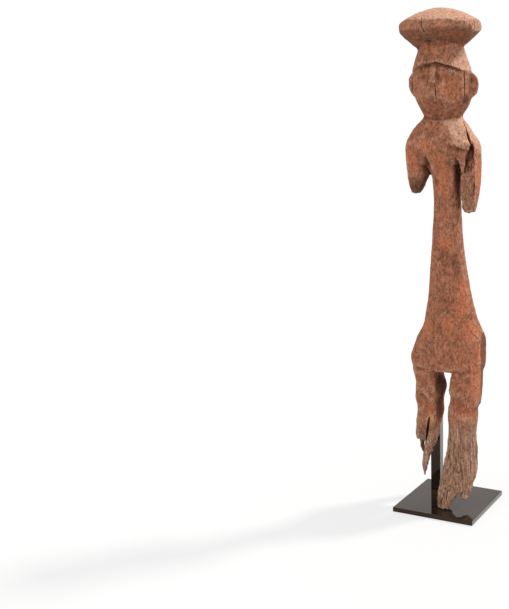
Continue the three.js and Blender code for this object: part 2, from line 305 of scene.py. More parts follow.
def grain(places, size, seed, octaves=2):
    """Noise of about -1 to 1. size is the width of its lumps along X, Y and Z in millimetres."""
    scaled = places / size + seed * 17.3
    return np.array([noise.fractal(Vector(p), 1.0, 2.0, octaves) for p in scaled])


def smoothed(thing, values, rounds):
    """The values of the points after each became the mean of its neighbours' values, many times."""
    pairs = np.empty(len(thing.data.edges) * 2, dtype=np.int32)
    thing.data.edges.foreach_get("vertices", pairs)
    first, second = pairs.reshape(-1, 2).T
    here, there = np.concatenate((first, second)), np.concatenate((second, first))
    count = np.maximum(np.bincount(here, minlength=len(values)), 1)
    for _ in range(rounds):
        sums = [np.bincount(here, weights=values[there, axis], minlength=len(values)) for axis in range(3)]
        values = np.array(sums).T / count[:, None]
    return values


print("noise at the origin:", round(float(grain(np.zeros((1, 3)), (9, 9, 9), 1)[0]), 3))

# %% [markdown]
# ## Rounding off
#
# The thumb-wide faces of the solid model still show on the long body and on the head. Many
# rounds of smoothing take them away, but they also make the figure thinner. What the first
# smoothing took away in all is therefore smoothed too, and given back. The disc, the brow,
# the ears, the broken arm and the thin ends of the legs keep their edges.

# %% Melt the flat faces
MELT_ROUNDS = 16

places = places_of(figure)
x, z = places[:, 0], places[:, 2]
across = across_of(places)
soft = smoothed(figure, places, MELT_ROUNDS)
soft += smoothed(figure, places - soft, MELT_ROUNDS)
below_disc = ramp(z, 1056, 1048)
brow = ramp(z, 990, 996) * ramp(z, 1034, 1024) * ramp(across, -44, -34)
broken_arm = (z < 850) * (z > 690) * ramp(across, 0, 8)
ears = (np.abs(x + 6) > 63) * (z > 930)
above_thin_ends = np.where(x < -8, ramp(z, 190, 215), ramp(z, 70, 95))
belly_edge = 0.7 * ramp(z, 326, 332) * ramp(z, 352, 344)
melt = below_disc * (1 - brow) * (1 - broken_arm) * (1 - ears)
melt *= above_thin_ends * (1 - belly_edge)
put_places(figure, places + (soft - places) * melt[:, None])
print("melted", round(float(melt.mean()), 2), "of the skin")

# %% [markdown]
# ## The carver's planes
#
# Hand-carved wood isn't round. The blade leaves flat planes that meet in soft edges: on
# the forehead, round the rim of the disc, down the body and on the zigzag legs. Each
# plane here is a point on the surface, the direction that it faces and how far it
# reaches. Whatever stands out beyond the plane is pressed down to it.

# %% Flat planes left by the blade
PLANES = {
    # name: a point on the plane, the direction it faces, how far it reaches (all mm)
    "disc_left": ((-97, -25, 1097), (-1.0, -0.25, 0.0), 40),
    "disc_right": ((79, -22, 1098), (1.0, -0.05, 0.0), 46),
    "forehead_front": ((-8, -79, 1035), (-0.02, -0.96, 0.28), 46),
    "forehead_left": ((47, -50, 1024), (0.87, -0.39, 0.3), 60),
    "forehead_right": ((-50, -54, 1030), (-0.8, -0.54, 0.3), 42),
    "cheek_left": ((41, -58, 966), (0.66, -0.75, -0.05), 36),
    "cheek_right": ((-48, -60, 962), (-0.62, -0.78, -0.08), 36),
    "jaw_left": ((45, -41, 930), (0.72, -0.46, -0.52), 38),
    "jaw_front": ((0, -64, 928), (0.0, -0.85, -0.53), 36),
    "dome_left": ((45, -49, 875), (0.56, -0.7, 0.46), 44),
    "dome_front": ((-2, -64, 876), (0.0, -0.93, 0.37), 40),
    "dome_right": ((-46, -54, 876), (-0.48, -0.76, 0.45), 42),
    "dome_side": ((74, -12, 858), (0.93, -0.02, 0.37), 44),
    "arm_right_outer": ((-86, -34, 818), (-0.86, -0.5, -0.1), 44),
    "arm_right_front": ((-68, -45, 812), (-0.2, -0.97, -0.1), 40),
    "breast": ((4, -56, 806), (0.05, -0.96, -0.27), 40),
    "belly": ((0, -49, 380), (0.0, -1.0, 0.02), 66),
    "belly_right": ((-56, -42, 380), (-0.5, -0.86, 0.05), 44),
    "hip_left_side": ((88, -5, 372), (1.0, -0.1, 0.05), 64),
    "hip_left_corner": ((79, -32, 380), (0.78, -0.62, 0.03), 46),
}


def shave(places, point, facing, reach):
    """Presses down what stands out beyond a plane, more gently further from its point."""
    facing = np.array(facing) / np.linalg.norm(facing)
    above = np.clip((places - point) @ facing, 0, None)
    near = ramp(np.linalg.norm(places - point, axis=1), reach, reach * 0.6)
    return places - (above * near)[:, None] * facing


places = places_of(figure)
for point, facing, reach in PLANES.values():
    places = shave(places, point, facing, reach)
put_places(figure, places)
print(len(PLANES), "planes cut")

# %% [markdown]
# ## Zigzag legs
#
# The legs are carved in a zigzag, with an edge wherever two slanting planes meet. The
# edges show best as lines: a high line where two planes meet outwards, and a low line
# where they meet inwards. Each line is raised or sunk a little, and it fades out on both
# sides, so the wood between two lines becomes a slanting plane. Low lines also draw the
# neck and the lower edge of the belly.

# %% High and low lines
RIDGES = {
    # name: the line, how far it rises (negative: sinks) and how wide it is (mm)
    "leg_right_slant": ([(-61, -40, 296), (-44, -36, 280), (-30, -28, 262)], 3.0, 15),
    "leg_right_notch": ([(-58, -38, 316), (-44, -34, 306), (-34, -24, 300)], -2.6, 15),
    "leg_right_low": ([(-60, -34, 268), (-44, -34, 246), (-32, -28, 240)], -2.4, 16),
    "leg_left_slant": ([(22, -34, 286), (44, -42, 276), (64, -38, 262)], 2.6, 18),
    "leg_left_low": ([(26, -32, 262), (46, -36, 254), (66, -30, 240)], -2.2, 15),
    "leg_left_knee": ([(18, -30, 246), (40, -36, 232), (62, -32, 222)], 2.4, 16),
    "belly_edge_left": ([(33, -48, 338), (50, -46, 333), (68, -38, 344)], -2.8, 9),
    "belly_edge_right": ([(-60, -40, 337), (-42, -46, 335), (-20, -44, 335)], -2.4, 8),
    "neck": ([(-44, -36, 906), (-20, -55, 903), (8, -57, 902), (32, -44, 904), (42, -26, 906)], -2.0, 7),
}

places, outward = places_of(figure), outward_of(figure)
for line, rise, width in RIDGES.values():
    press = ramp(line_distance(places, line), width, 0)
    places += outward * (press * rise)[:, None]
put_places(figure, places)
print(len(RIDGES), "lines drawn")

# %% [markdown]
# ## Face
#
# The face is only suggested, as on many masks. It lies a little behind the edge of the
# brow, which throws a thin shadow on it. The eyes are two shallow hollows beside the nose.

# %% Brow, eyes and nose
BROW_LINE = [(-66, 1001), (-36, 1009), (8, 1016), (44, 1005), (62, 999)]  # as X and Z
BROW_DEPTH, EYE_DEPTH, NOSE_DEPTH = 2.0, 5, 3  # how deep each is cut (mm)

places, outward = places_of(figure), outward_of(figure)
in_front = places[:, 1] < -22
under_brow = ramp(line_distance(places[:, [0, 2]], BROW_LINE), 7, 0) * in_front
under_brow *= ramp(places[:, 0], -60, 20) * ramp(places[:, 0], 58, 46)
places -= outward * (under_brow * BROW_DEPTH)[:, None]

EYE_HOLLOWS = {"right": (-27, -80, 992), "left": (28, -74, 990)}
for middle in EYE_HOLLOWS.values():
    press = ball_falloff(places, middle, (25, 26, 18))
    places -= outward * (press * EYE_DEPTH)[:, None]

NOSE_SIDES = {"right": [(-11, -82, 1008), (-15, -82, 978)], "left": [(10, -80, 1008), (12, -80, 978)]}
for line in NOSE_SIDES.values():
    press = ramp(line_distance(places, line), 8, 0)
    places -= outward * (press * NOSE_DEPTH)[:, None]
put_places(figure, places)
print("face points:", int((under_brow > 0.1).sum()))

# %% [markdown]
# ## Small corrections
#
# A few places get a last touch. The corner between the ear and the head is rounded
# out, and so is the dent where the right arm leaves the shoulder. The little splinter under
# the broken leg is made broader, and the broken arm gets back the square corner at its
# lower end. The flap at the shoulder is drawn out a little, so that it reaches over the
# hollow behind it. The arch under the foot is made narrower from both sides, and it rises
# towards the back, as its mirror image in the plate shows.

# %% Ear, arms, splinter, flap and foot
# Each place is a ball, given by its middle and radii (mm).
EAR_CORNER = ((64, -16, 976), (16, 26, 30))
SHOULDER_DENT = ((-54, -54, 828), (34, 34, 42))
SPLINTER = ((-64, -2, 132), (16, 18, 32))
ARM_CORNER = ((48, -26, 706), (16, 24, 20))
ARCH_HEEL_SIDE = ((50, -35, 38), (16, 32, 24))
ARCH_TOE_SIDE = ((38, -53, 42), (14, 22, 22))
HEEL_END = ((50, -30, 28), (16, 28, 26))
SPLINTER_EDGE_X = -69  # the edge of the splinter that stays where it is
ARCH_RISE = 14  # how much higher the arch is at the back than at the front
FLAP_REACH = [(780, 0), (793, 2.5), (815, 5.5), (836, 7.5), (848, 8.5), (858, 0)]  # Z, and its growth

places = places_of(figure)
soft = smoothed(figure, places, 12)
near_ear = ramp(ball_falloff(places, *EAR_CORNER), 0, 0.5)
places += (soft - places) * near_ear[:, None]

far_soft = smoothed(figure, places, 50)
far_soft += smoothed(figure, places - far_soft, 50)
near_arm = ramp(ball_falloff(places, *SHOULDER_DENT), 0, 0.5)
places += (far_soft - places) * near_arm[:, None]

near_splinter = ramp(ball_falloff(places, *SPLINTER), 0, 0.5)
places[:, 0] += near_splinter * 0.5 * np.clip(places[:, 0] - SPLINTER_EDGE_X, 0, None)
near_corner = ball_falloff(places, *ARM_CORNER)
places += near_corner[:, None] * np.array((-4.0, 0.0, -1.5))

near_heel = ball_falloff(places, *ARCH_HEEL_SIDE)
near_toe = ball_falloff(places, *ARCH_TOE_SIDE)
places[:, 0] += near_toe * 2.8 - near_heel * 4.2
left_leg = places[:, 0] > -20
places[:, 2] += ARCH_RISE * ramp(back_of(places), -24, 8) * ramp(places[:, 2], 90, 50) * left_leg
heel_end = ball_falloff(places, *HEEL_END)
places += heel_end[:, None] * np.array((6.0, -12.0, 4.0))

across = across_of(places)
flap_rim = ramp(across, 14, 32) * ramp(across, 46, 40) * ramp(places[:, 1], -26, -42)
places[:, 0] += flap_rim * np.interp(places[:, 2], *zip(*FLAP_REACH))
put_places(figure, places)
touched = near_ear + near_arm + near_splinter + near_corner + near_heel + near_toe + flap_rim
print("touched points:", int((touched > 0.1).sum()))

# %% [markdown]
# ## Broken shoulder
#
# At the shoulder the smooth old surface ends in a low shelf. Below it a thin flap of wood
# still covers a part of the arm. Behind the flap the wood has rotted away, down to long
# fibres, and only a strip on the outer side kept its old surface. On both sides of the
# body, the surface between breast and arm lies back in the shade.
#
# First come the edges of these places and two masks that are made from them. The material
# uses the same masks later, for the grey of the rotten wood and for painted shade between
# body and arm, so that colour and shape stay together.

# %% Edges of the break
SHELF = [(20, 853), (36, 848), (52, 842), (70, 836)]  # its lower edge, as X and Z
# Four upright edges follow, each as pairs of Z and how far across the edge lies there.
FLAP_LEFT = [(770, 26), (791, 26), (804, 22.5), (819, 14), (830, 5)]
FLAP_RIGHT = [(789, 32), (812, 37), (836, 42.5), (848, 45)]
BREAST_EDGE = [(775, -35), (786, -37), (797, -40), (808, -43), (819, -48), (831, -54)]
STRIP_EDGE = [(700, 56), (790, 55.5), (813, 55), (834, 52.5), (848, 48)]
FLAP_FOOT = 789  # the height where the flap ends
ARM_INNER_EDGE = 14  # how far across the arm begins below the flap


def rotten_core(places, soft):
    """1 on the rotten face of the arm, between the flap and the outer strip."""
    x, y, z = places.T
    across = across_of(places)
    flap_edge = np.where(z < FLAP_FOOT, ARM_INNER_EDGE, np.interp(z, *zip(*FLAP_RIGHT)))
    strip_edge = np.interp(z, *zip(*STRIP_EDGE)) + 1.2 * np.sin(z / 7.0) + 0.6 * np.sin(z / 2.9)
    fade = soft * np.where(z > 786, 3, 1)
    inside = ramp(across, flap_edge - soft, flap_edge + soft)
    inside *= ramp(across, strip_edge + soft, strip_edge - fade)
    return inside * (z > 690) * ramp(z, 846, 840) * (x > 38) * (y < -4)


def recess(places, edges, start):
    """1 in the shade between body and arm: left of a sharp edge, and from a soft start on."""
    y, z = places[:, 1], places[:, 2]
    across = across_of(places)
    inside = ramp(np.interp(z, *zip(*edges)) - across, -1, 1.5) * ramp(across, start, start + 9)
    return inside * ramp(z, 830, 818) * ramp(z, 715, 765) * (y < 4)


print("rotten points:", int((rotten_core(places_of(figure), 1.2) > 0.5).sum()))

# %% [markdown]
# The break is now carved from the front: first the shelf, then the shaded surface on both
# sides of the body, and last the rotten arm. Noise that is stretched along the arm leaves
# the long fibres standing.

# %% Carve the shelf, the shade and the rotten arm
SHELF_DEPTH = 4.5
RECESS_DEPTH = [(740, 0), (765, 5), (790, 12), (812, 12), (828, 0)]  # Z, and depth between body and arm
CORE_DEPTH = 3.5  # how deep the rot went at the front of the lower arm
HOLLOW_FLOOR = [(783, -36), (797, -31), (812, -25), (842, -22)]  # Z, and the Y of the hollow's floor
INTO_HOLLOW = np.array((-0.4, 1, 0))

places, outward = places_of(figure), outward_of(figure)
x, y, z = places.T
drop = np.interp(x, *zip(*SHELF)) - z
on_shelf = (x < 76) * (y < -24) * ramp(x, 16, 36)
places -= outward * (ramp(drop, 0, 5) * ramp(drop, 40, 10) * on_shelf * SHELF_DEPTH)[:, None]
shaded = recess(places, FLAP_LEFT, 8) + 0.6 * recess(places, BREAST_EDGE, -58)
places[:, 1] += shaded * np.interp(z, *zip(*RECESS_DEPTH))

core = rotten_core(places, 1.2)
streaks = grain(places, (3.5, 3.5, 45), 5)
hollow = core * ramp(z, 781, 786)
floor_y = np.interp(z, *zip(*HOLLOW_FLOOR)) + 4 * streaks
sunk = np.where(hollow > 0, hollow * (floor_y - y), core * (CORE_DEPTH + streaks))
places += sunk[:, None] * INTO_HOLLOW
put_places(figure, places)
print("points on the rotten arm:", int((core > 0.5).sum()))

# %% [markdown]
# ## Wood grain and rot
#
# Sound wood is nearly smooth, with low lumps from the blade. Where damp got in, the soft
# wood between the yearly rings has gone, and the hard wood stands up in long ribs. The
# same noise, stretched along the trunk, makes both: it is only stronger on the foot, the
# leg's stub, the arm tips and the broken arm.

# %% Lumps, ribs and ragged ends
LUMP_HEIGHT, PORE_HEIGHT = 1.0, 0.35
RIB_HEIGHT, ROTTEN_RIB_HEIGHT = 0.3, 2.5  # on sound wood, and how much more on rotten wood (mm)


def rot_of(places):
    """How rotten each point is, from 0 to 1: the foot, the leg's stub and the arms' ends."""
    x, z = places[:, 0], places[:, 2]
    wander = 10 * np.sin(x / 9.0) + 6 * np.sin(x / 4.0 + 1)
    left_foot = ramp(z + wander, 215, 175) * (x > -8)
    right_stub = ramp(z, 205, 160) * (x < -8)
    right_arm_tip = ramp(z + 0.3 * wander, 786, 776) * (z > 730) * (x < -36)
    return np.clip(left_foot + right_stub + right_arm_tip + rotten_core(places, 1.5), 0, 1)


places, outward = places_of(figure), outward_of(figure)
rot = rot_of(places)
lumps = grain(places, (24, 24, 34), 1)
ribs = grain(places, (5, 5, 55), 2, 3)
pores = grain(places, (7, 7, 9), 3)
move = lumps * LUMP_HEIGHT + pores * PORE_HEIGHT + ribs * (RIB_HEIGHT + ROTTEN_RIB_HEIGHT * rot)
places += outward * move[:, None]
put_places(figure, places)
print("rotten points:", int((rot > 0.5).sum()), "of", len(rot))

# %% [markdown]
# ## Splits
#
# Wood shrinks more round its rings than along its length, so it opens in long narrow
# splits that are widest in the middle. The widest ones run past the ear, down the
# shoulder and through the stub of the broken leg.

# %% Where the wood has split
SPLITS = {
    # name: where it starts and ends, the outward direction, width and depth (mm)
    "disc_front": ((-18, -100, 1113), (-12, -92, 1078), (0, -1, 0), 3.4, 12),
    "disc_low": ((-14, -98, 1090), (5, -70, 1053), (0, -0.75, -0.66), 2.8, 11),
    "disc_rim": ((80, -44, 1110), (79, -36, 1088), (0.9, -0.4, 0), 2.8, 8),
    "face": ((5, -81, 976), (7, -75, 938), (0.1, -1, -0.1), 2.8, 9),
    "ear": ((56, -41, 1006), (56, -40, 948), (0.9, -0.4, 0), 5.0, 12),
    "shoulder_high": ((46, -21, 900), (64, -36, 868), (0.7, -0.35, 0.6), 3.4, 13),
    "shoulder_low": ((58, -32, 880), (75, -45, 838), (0.6, -0.75, 0.3), 7.0, 18),
    "flap": ((76, -49, 845), (56, -41, 784), (0.4, -0.9, 0), 4.5, 16),
    "hip_high": ((77, -28, 430), (84, -24, 412), (0.8, -0.5, 0.3), 2.6, 6),
    "hip_low": ((82, -22, 418), (88, -16, 402), (0.9, -0.3, 0.2), 2.4, 6),
    "stub": ((-33, -36, 222), (-46, -30, 150), (0.35, -0.93, 0), 7.0, 24),
    "thigh": ((56, -40, 300), (62, -32, 238), (0.4, -0.9, 0), 1.2, 5),
    "toe_front": ((15, -60, 60), (7, -66, 16), (0, -1, 0.1), 2.4, 8),
    "toe_side": ((24, -58, 66), (19, -60, 26), (0.3, -0.95, 0), 1.8, 7),
    "foot_front": ((33, -36, 120), (37, -42, 66), (0, -1, 0), 1.6, 6),
    "foot_side": ((66, -22, 128), (60, -24, 66), (0.8, -0.6, 0), 2.0, 8),
}
print(len(SPLITS), "splits, the widest", max(width for *_, width, depth in SPLITS.values()), "mm")

# %% [markdown]
# Each split is cut with a leaf: a ball stretched along the split, thin across it and sunk
# into the wood. All the leaves are cut away at once with one boolean.

# %% Cut the splits
cuts = bpy.data.collections.new("cuts")
bpy.context.scene.collection.children.link(cuts)


def leaf(start, end, outward, width, depth):
    """A ball stretched from start to end, thin across and sunk along the inward direction."""
    start, end, outward = (Vector(v) * MM for v in (start, end, outward))
    along = (end - start) / 2
    outward = (outward - outward.project(along)).normalized()
    across = along.cross(outward).normalized()  # in this order the three never mirror the ball
    bpy.ops.mesh.primitive_uv_sphere_add(segments=12, ring_count=10, radius=1)
    made = bpy.context.object
    axes = Matrix((across * width * MM / 2, along, outward * depth * MM)).transposed()
    made.matrix_world = Matrix.Translation((start + end) / 2) @ axes.to_4x4()
    for home in made.users_collection:
        home.objects.unlink(made)
    cuts.objects.link(made)


for start, end, facing, width, depth in SPLITS.values():
    leaf(start, end, facing, width, depth)
apply_modifier(figure, "BOOLEAN", operation="DIFFERENCE", solver="MANIFOLD",
               operand_type="COLLECTION", collection=cuts)
for made in list(cuts.objects):
    bpy.data.objects.remove(made)
bpy.data.collections.remove(cuts)
figure.data.materials.clear()
only(figure)
bpy.ops.object.mode_set(mode="EDIT")
bpy.ops.mesh.select_all(action="SELECT")
bpy.ops.mesh.quads_convert_to_tris()
bpy.ops.object.mode_set(mode="OBJECT")
bpy.ops.object.shade_smooth_by_angle(angle=math.radians(50))
print(len(SPLITS), "splits cut;", len(figure.data.polygons), "triangles")

# %% [markdown]
# ## Creases and ridges
#
# The creases get painted shade, and the paint wears off the ridges, which also get a little
# painted highlight. A copy of all the places is smoothed many times over: where the real
# skin lies under the smoothed one there is a crease, and where it stands above there is a
# ridge.

# %% Creases and ridges
places, outward = places_of(figure), outward_of(figure)
depth = ((smoothed(figure, places, 14) - places) * outward).sum(axis=1)
crease = ramp(depth, 0.25, 1.8)
ridge = ramp(-depth, 0.2, 1.6)
print("creases", round(float(crease.mean()), 3), "ridges", round(float(ridge.mean()), 3))

# %% [markdown]
# ## Where the paint is and where it has gone
#
# Ochre has worn off the ridges and the feet, and the ridges and lit edges get a painted
# highlight. Dust and painted light lie on what faces up. Painted shade darkens the hollows,
# the creases and what faces down, and some patches of wood are darker. Each of these is a
# mask, a number from 0 to 1 at every point of the mesh, made from where the point is and
# which way it faces. The first kind is a round patch with a soft edge.

# %% Round patches
PALE_PATCHES = [
    # middle and radii of each patch (mm), and how strong it is
    ((86, -30, 1100), (16, 30, 20), 0.25),
    ((66, -14, 974), (9, 14, 9), 0.8),
]
OCHRE_PATCHES = [
    ((-78, -42, 808), (26, 40, 46)),
    ((-60, -46, 806), (18, 30, 34)),
    ((0, -58, 800), (34, 30, 34)),
    ((-28, -66, 846), (30, 30, 18)),
    ((28, -74, 972), (30, 30, 26)),
    ((26, -98, 1091), (30, 26, 12)),
    ((-52, -94, 1092), (30, 30, 10)),
    ((78, -10, 790), (16, 60, 90)),
    ((8, -46, 770), (30, 40, 70)),
    ((5, -33, 631), (26, 30, 26)),
    ((46, -22, 505), (22, 34, 62)),
    ((68, -33, 428), (30, 34, 40)),
    ((19, -44, 446), (24, 30, 30)),
    ((-40, -44, 440), (22, 30, 40)),
    ((80, -26, 368), (20, 34, 60)),
    ((80, -22, 310), (16, 34, 50)),
    ((-26, -28, 226), (18, 28, 34)),
    ((56, -34, 240), (34, 30, 30)),
]
# Painted shade: between body and arm, in the top of the rotten hollow, on the splinter, between the legs,
# under the ear, beside the nose and in the mouth. The other patches make the wood darker.
DARK_AND_SHADE_PATCHES = [
    # middle and radii of each dark place, and how dark it is
    ((34, -14, 762), (11, 40, 90), 0.45),
    ((68, -30, 842), (12, 24, 13), 0.7),
    ((62, -16, 992), (12, 18, 13), 0.45),
    ((-62, -2, 136), (14, 16, 22), 0.8),
    ((34, -68, 1034), (20, 20, 20), 0.12),
    ((46, -36, 262), (40, 34, 34), 0.2),
    ((-60, -20, 178), (24, 30, 36), 0.2),
    ((0, -36, 505), (40, 30, 34), 0.13),
    ((0, -36, 622), (40, 30, 30), 0.1),
    ((-10, -40, 765), (10, 20, 16), 0.5),
    ((-60, -30, 752), (34, 40, 24), 0.3),
    ((-10, -20, 300), (16, 60, 52), 0.95),
    ((-14, -14, 240), (13, 40, 56), 0.85),
    ((-4, -92, 990), (13, 8, 18), 0.3),
    ((5, -32, 610), (18, 20, 18), 0.35),
    ((29, -27, 588), (18, 20, 30), 0.4),
    ((-24, -29, 235), (12, 14, 18), 0.3),
    ((-8, -88, 972), (9, 12, 5), 0.7),
    ((58, -34, 944), (12, 20, 16), 0.8),
]


def patches(places, spots):
    """One mask from many ball-shaped spots. A third number in a spot is its strength."""
    mask = np.zeros(len(places))
    for middle, radii, *strength in spots:
        mask = np.maximum(mask, ramp(ball_falloff(places, middle, radii), 0, 0.6) * (strength or [1])[0])
    return mask


print(len(PALE_PATCHES), "pale,", len(OCHRE_PATCHES), "ochre and", len(DARK_AND_SHADE_PATCHES), "dark patches")

# %% [markdown]
# The planes that the blade left take painted light, painted shade and darker wood as a
# whole, so their masks have sharp edges. They are drawn on the front by their corners.

# %% Planes
# painted light on the lit facets of the forehead and the shoulder, and on the disc's edge and end
PALE_AND_LIT_PLANES = {
    # name: the corners (across, z) of each plane, and how pale it is
    "forehead": ([(3, 1014), (30, 1053), (46, 1052), (48, 998), (30, 1001)], 0.5),
    "shoulder": ([(-2, 868), (8, 898), (28, 908), (34, 876), (41, 846), (14, 843)], 0.6),
    "shoulder_left": ([(-26, 876), (-16, 892), (6, 896), (0, 862), (-16, 858)], 0.12),
    "disc_end": ([(50, 1112), (78, 1112), (78, 1076), (56, 1084)], 0.6),
    "disc_edge": ([(6, 1106), (40, 1112), (54, 1110), (54, 1094), (44, 1099)], 0.5),
}
# painted shade under the shelf and on the front of the disc; the hip's side, the disc's end, an arm's tip
# and the rotten core of the other arm are darker
DARK_AND_SHADE_PLANES = {
    "hip_side": ([(71.5, 250), (71.5, 424), (90, 420), (90, 250)], 0.6),
    "under_shelf": ([(-28, 838), (-26, 846), (24, 841), (38, 832), (36, 826), (20, 833)], 0.45),
    "arm_tip": ([(-90, 730), (-86, 776), (-44, 777), (-44, 730)], 0.45),
    "disc_front": ([(-115, 1080), (-115, 1106), (33, 1101), (56, 1088), (30, 1062), (-60, 1062)], 0.14),
    "disc_end": ([(57, 1080), (57, 1106), (84, 1106), (84, 1080)], 0.15),
    "arm_core": ([(30, 704), (30, 784), (54, 784), (54, 704)], 0.13),
}
# no dust and no painted light on these
NO_DUST_NO_LIGHT_PLANES = {
    "forehead_middle": ([(-70, 1004), (-70, 1058), (37, 1058), (4, 1014)], 0.8),
    "under_brow": ([(-70, 930), (-70, 1002), (50, 1000), (62, 1000), (62, 930)], 0.7),
}


def planes(places, areas):
    """One mask from areas that are drawn on the front of the figure."""
    return np.max([area(places, corners, 1.6) * strength for corners, strength in areas.values()], axis=0)


print(len(PALE_AND_LIT_PLANES), "pale,", len(DARK_AND_SHADE_PLANES), "dark and", len(NO_DUST_NO_LIGHT_PLANES), "clean planes")

# %% [markdown]
# Where two planes meet, an edge gets a painted highlight or a line of painted shade: a
# highlight along the lit edge of the brow and a ridge on a leg, and shade under the jaw,
# under the disc, under the brow, beside the flap and on the legs. The disc's end gets a pale
# rim and a dark line, and the hip and the arm's strip dark lines. A knot and two scratches
# on the belly are drawn in the same way, as lines that have a width and a strength.

# %% Lines
LINES = {
    # name: the line, its width, and how dark it is (negative: pale)
    "brow_edge": ([(42, -70, 1013), (54, -48, 1008), (58, -30, 1003), (60, -15, 1000)], 4.2, -0.9),
    "flap_shade": ([(66, -34, 842), (60, -28, 815), (57, -38, 793)], 6.0, 0.6),
    "strip_edge": ([(76, -32, 790), (75, -30, 771), (73, -24, 738), (71, -20, 716)], 3.0, 0.7),
    "knot": ([(64, -30, 728), (65, -30, 725)], 4.5, 0.9),
    "hip_edge": ([(80, -36, 408), (88, -17, 389), (88, -17, 350), (84, -14, 300)], 2.6, 0.5),
    "scratch": ([(-14, -49, 398), (-4, -49, 374), (6, -49, 346)], 1.8, -0.5),
    "scratch_short": ([(-4, -49, 396), (8, -49, 366)], 1.6, -0.4),
    "leg_ridge": ([(-60, -38, 292), (-43, -38, 280), (-30, -34, 264)], 3.4, -0.8),
    "leg_shade": ([(-60, -34, 282), (-50, -37, 274), (-40, -36, 265)], 6.0, 0.35),
    "leg_shade_left": ([(30, -40, 284), (48, -42, 276), (64, -38, 264)], 6.0, 0.3),
    "neck": ([(-40, -40, 908), (-10, -60, 905), (20, -58, 905), (42, -34, 906)], 4.0, 0.6),
    "disc_foot": ([(-44, -50, 1058), (-10, -74, 1058), (20, -72, 1058), (44, -46, 1058)], 3.5, 0.5),
    "disc_end_edge": ([(76, -57, 1108), (77, -57, 1088)], 2.6, 0.5),
    "disc_end_rim": ([(79, -46, 1104), (79, -46, 1086), (78, -14, 1080)], 2.4, -0.9),
    "brow_shade": ([(8, -76, 1014), (28, -78, 1009), (46, -66, 1002)], 3.0, 0.6),
}


def strokes(places, sign):
    """One mask from the dark lines (sign 1), or from the pale ones (sign -1)."""
    drawn = [ramp(line_distance(places, line), width, width * 0.3) * max(sign * strength, 0)
             for line, width, strength in LINES.values()]
    return np.max(drawn, axis=0)


print(len(LINES), "lines")

# %% [markdown]
# Now every mask is put together from the parts above, the creases and ridges, and noise
# that makes their edges wander. They are stored on the mesh as attributes, and the
# material mixes its colours by them.

# %% From places to masks
FRONT = np.array((0.43, -0.9, 0.0))  # the side that the planes are drawn on
DUST_AND_LIGHT_FROM = np.array((0.45, 0.1, 0.89))  # dust and painted light lie on what faces this way

x, z = places[:, 0], places[:, 2]
facing_up = outward @ (DUST_AND_LIGHT_FROM / np.linalg.norm(DUST_AND_LIGHT_FROM))
in_front = ramp(outward @ FRONT, -0.1, 0.15)
blotches = grain(places, (30, 30, 44), 4, 3)
wavy = places + np.stack((blotches, blotches, blotches), axis=1) * 3
# painted light on the lit planes, and the pale patches
pale = np.maximum(planes(wavy, PALE_AND_LIT_PLANES) * in_front, patches(places, PALE_PATCHES))
# dust, and painted light on what faces up, from the shoulders upward
dust_and_light_on_top = ramp(facing_up, 0.32, 0.62) * ramp(z, 780, 880) * (1 - planes(wavy, NO_DUST_NO_LIGHT_PLANES) * (x < 66))
dust_and_light = np.clip(dust_and_light_on_top + pale, 0, 1)
ochre = patches(wavy, OCHRE_PATCHES) * (0.85 + 0.6 * blotches)
ochre = np.clip(ochre + 0.3 * ramp(blotches, 0.1, 0.5), 0, 1)
weathered = np.clip(rot_of(places) * (1 - 0.7 * (z > 690)) + 0.3 * ramp(z, 260, 200) * (x > -8), 0, 1)
# painted shade on what faces down, from the arms upward
shade_facing_down = ramp(-outward[:, 2], 0.15, 0.8) * ramp(z, 700, 800) * 0.45
# painted shade in the creases, left off the lit ledge at the brow
lit_ledge = ball_falloff(places, (60, -34, 1003), (18, 36, 16))
dark = shade_facing_down + patches(places, DARK_AND_SHADE_PATCHES) + 0.6 * crease * (1 - lit_ledge)
dark += planes(wavy, DARK_AND_SHADE_PLANES) * in_front
# painted shade between body and arm, on both sides
shaded = 0.4 * recess(places, FLAP_LEFT, 8) + 0.3 * recess(places, BREAST_EDGE, -58)
dark = np.clip(np.maximum(dark + shaded, strokes(places, 1)), 0, 1)
# wear on the ridges and two scratches, painted highlights along lit edges, and a pale rim at the disc's
# end
wear_and_highlights = np.clip(0.5 * ridge + strokes(places, -1), 0, 1)
browns = np.clip(0.55 + 0.95 * grain(places, (8, 8, 12), 6, 3), 0, 1)


def keep_mask(thing, name, values):
    """Stores one number per point on the mesh, for the material to read."""
    layer = thing.data.attributes.new(name, "FLOAT", "POINT")
    layer.data.foreach_set("value", values.astype(np.float32))


masks = {
    "ochre": ochre,
    "dust_and_light": dust_and_light,
    "weathered": weathered,
    "dark": dark,
    "wear_and_highlights": wear_and_highlights,
    "browns": browns,
}
for name, values in masks.items():
    keep_mask(figure, name, values)
    print(name, "covers", round(float(values.mean()) * 100), "percent")

# %% [markdown]
# ## Helpers for materials
#
# A material is a net of small nodes that each do one thing. Written out in full, a net of
# fifty nodes is hard to read. A few helpers make the ones that are needed most: a mix of
# two colours, a step of arithmetic, noise, and a mask that is stored on the mesh.

# %% Helpers for materials
MIX_FACTOR, MIX_UNDER, MIX_OVER = 0, 6, 7  # the places of a colour Mix node's inputs
MIX_RESULT = 2  # and of its output


def feed(tree, socket, value):
    """Links a socket to another one, or sets it to a number or a colour."""
    if isinstance(value, bpy.types.NodeSocket):
        tree.links.new(value, socket)
    else:
        socket.default_value = (*value, 1) if isinstance(value, tuple) else value


